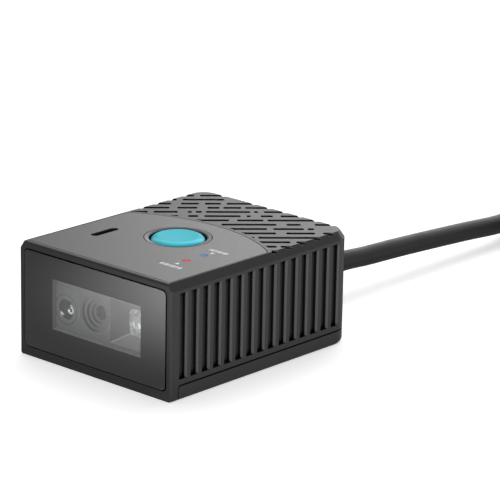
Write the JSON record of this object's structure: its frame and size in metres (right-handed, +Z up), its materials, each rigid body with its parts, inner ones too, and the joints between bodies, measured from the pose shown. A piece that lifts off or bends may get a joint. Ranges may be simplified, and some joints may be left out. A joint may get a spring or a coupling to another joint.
{
  "type": "fixed barcode reader",
  "caption": "Small fixed-mount barcode reader: box housing with ribbed side walls, a dark front window over the scan engine, a round push button on top and a corded lead with a plug.",
  "frame": {"origin": "middle of the reader's underside, without its lead", "axes": "+X to the reader's right seen from the front with the window facing the viewer, +Y from the window to the rear wall, +Z up"},
  "size_m": [0.0706, 0.2355, 0.0291],
  "materials": {
    "housing_plastic": "fine moulded texture, black",
    "panel_plastic": "smooth satin, black",
    "bezel_plastic": "satin, dark grey",
    "button_plastic": "satin, blue-green",
    "switch_plastic": "natural moulded plastic",
    "chip_plastic": "moulded epoxy, black",
    "red_lamp": "clear moulded, red",
    "blue_lamp": "clear moulded, blue",
    "led_resin": "cast resin",
    "board_laminate": "green solder resist",
    "screw_steel": "zinc plated",
    "window_acrylic": "polished acrylic",
    "mask_print": "black print on the window's back",
    "seal_rubber": "foam seal, black",
    "engine_plastic": "moulded plastic, mid grey",
    "barrel_plastic": "matt moulded plastic, dark grey",
    "lens_glass": "coated glass",
    "clear_lens": "clear moulded acrylic",
    "ribbon_film": "polyimide film",
    "insert_brass": "turned brass",
    "cord_rubber": "satin extruded jacket, black",
    "tie_fabric": "woven hook-and-loop strap, black",
    "plug_plastic": "moulded overmould, black",
    "plug_steel": "nickel-plated sheet"
  },
  "bodies": {
    "reader": {"main_housing": "housing_plastic", "bottom_cover": "housing_plastic", "top_panel": "panel_plastic", "button_bezel": "bezel_plastic", "tact_switch": "chip_plastic", "power_light_pipe": "red_lamp", "status_light_pipe": "blue_lamp", "indicator_leds": "led_resin", "buzzer": "chip_plastic", "top_board": "board_laminate", "top_board_screws": "screw_steel", "front_window": "window_acrylic", "window_mask": "mask_print", "window_seal": "seal_rubber", "engine_shroud": "engine_plastic", "lens_barrel": "barrel_plastic", "lens_glass": "lens_glass", "illumination_lens": "clear_lens", "illumination_led": "led_resin", "aimer_lens": "clear_lens", "aimer_led": "led_resin", "engine_board": "board_laminate", "image_sensor": "chip_plastic", "engine_screws": "screw_steel", "main_board": "board_laminate", "main_board_screws": "screw_steel", "decoder_chip": "chip_plastic", "cable_connector": "switch_plastic", "ribbon_socket": "switch_plastic", "engine_ribbon": "ribbon_film", "panel_ribbon": "ribbon_film", "cover_screws": "screw_steel", "mount_inserts": "insert_brass", "strain_relief": "cord_rubber", "inner_lead": "cord_rubber", "cord_lead": "cord_rubber", "cord_coil": "cord_rubber", "coil_tie": "tie_fabric", "cord_tail": "cord_rubber", "plug_body": "plug_plastic", "plug_shell": "plug_steel", "plug_tongue": "switch_plastic"},
    "button": {"trigger_button": "button_plastic", "switch_plunger": "switch_plastic"}
  },
  "joints": [
    {"name": "button_press", "type": "slide", "parent": "reader", "child": "button", "axis": [0, 0, -1], "range_m": [0, 0.0005], "stiffness_N_per_m": 1000}
  ]
}
